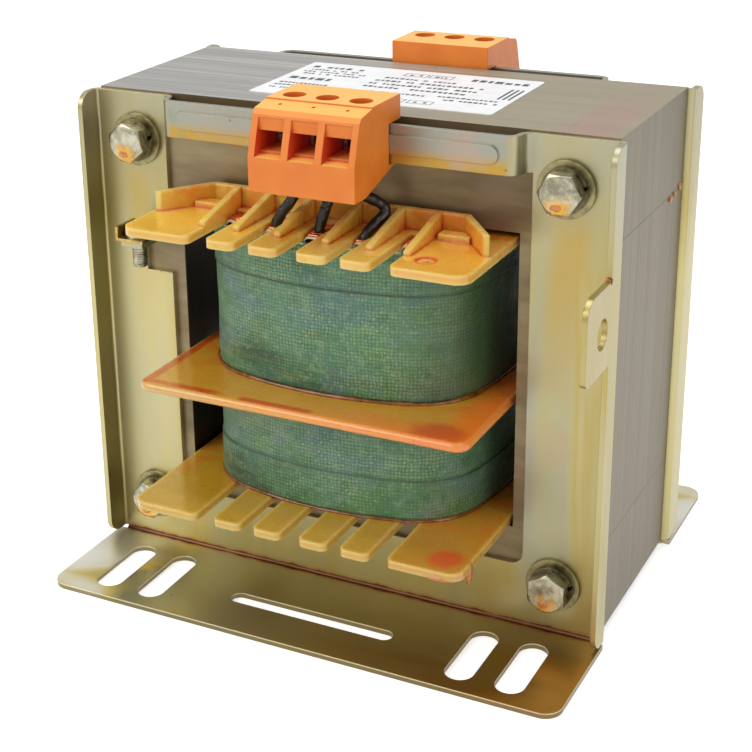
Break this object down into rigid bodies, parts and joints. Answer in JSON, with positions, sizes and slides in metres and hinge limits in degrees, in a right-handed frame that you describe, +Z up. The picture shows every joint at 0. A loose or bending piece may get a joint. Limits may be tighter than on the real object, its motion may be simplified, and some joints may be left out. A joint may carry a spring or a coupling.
{
  "type": "laminated chassis transformer",
  "caption": "Laminated chassis-mount transformer with a cloth-taped split-chamber coil, folded steel feet brackets and clip-on screw terminal blocks.",
  "frame": {"origin": "on the mounting surface, under the middle of the core", "axes": "+Z up from the mounting surface, X across the lamination plates, -Y towards the front, where the earth screw is"},
  "size_m": [0.154, 0.1368, 0.1456],
  "materials": {
    "zinc": "yellow passivated zinc",
    "core_steel": "varnished electrical steel",
    "bobbin": "translucent moulding",
    "copper_wire": "enamelled",
    "cloth_tape": "varnished glass cloth",
    "lead_sleeve": "satin",
    "insulation": "matt",
    "terminal_plastic": "satin",
    "cage_steel": "bright",
    "tinned_brass": "tinned",
    "brass": "bright",
    "label": "paper",
    "bright_zinc": "bright zinc"
  },
  "bodies": {
    "root": {"front_bracket": "zinc", "rear_bracket": "zinc", "yoke_up_e_laminations": "core_steel", "yoke_down_e_laminations": "core_steel", "top_i_laminations": "core_steel", "bottom_i_laminations": "core_steel", "bobbin_tube": "bobbin", "bobbin_top_flange": "bobbin", "bobbin_middle_flange": "bobbin", "bobbin_bottom_flange": "bobbin", "upper_winding": "copper_wire", "lower_winding": "copper_wire", "upper_tape": "cloth_tape", "lower_tape": "cloth_tape", "front_leads": "lead_sleeve", "rear_leads": "lead_sleeve", "core_bolts": "bright_zinc", "bolt_sleeves": "insulation", "bolt_spring_washers": "bright_zinc", "bolt_flat_washers": "bright_zinc", "nut_flat_washers": "bright_zinc", "core_nuts": "bright_zinc", "front_terminal_housing": "terminal_plastic", "front_terminal_clamps": "cage_steel", "front_terminal_screws": "bright_zinc", "front_terminal_tails": "tinned_brass", "rear_terminal_housing": "terminal_plastic", "rear_terminal_clamps": "cage_steel", "rear_terminal_screws": "bright_zinc", "rear_terminal_tails": "tinned_brass", "earth_screw": "bright_zinc", "earth_clamp": "brass", "rating_label": "label"}
  },
  "joints": []
}
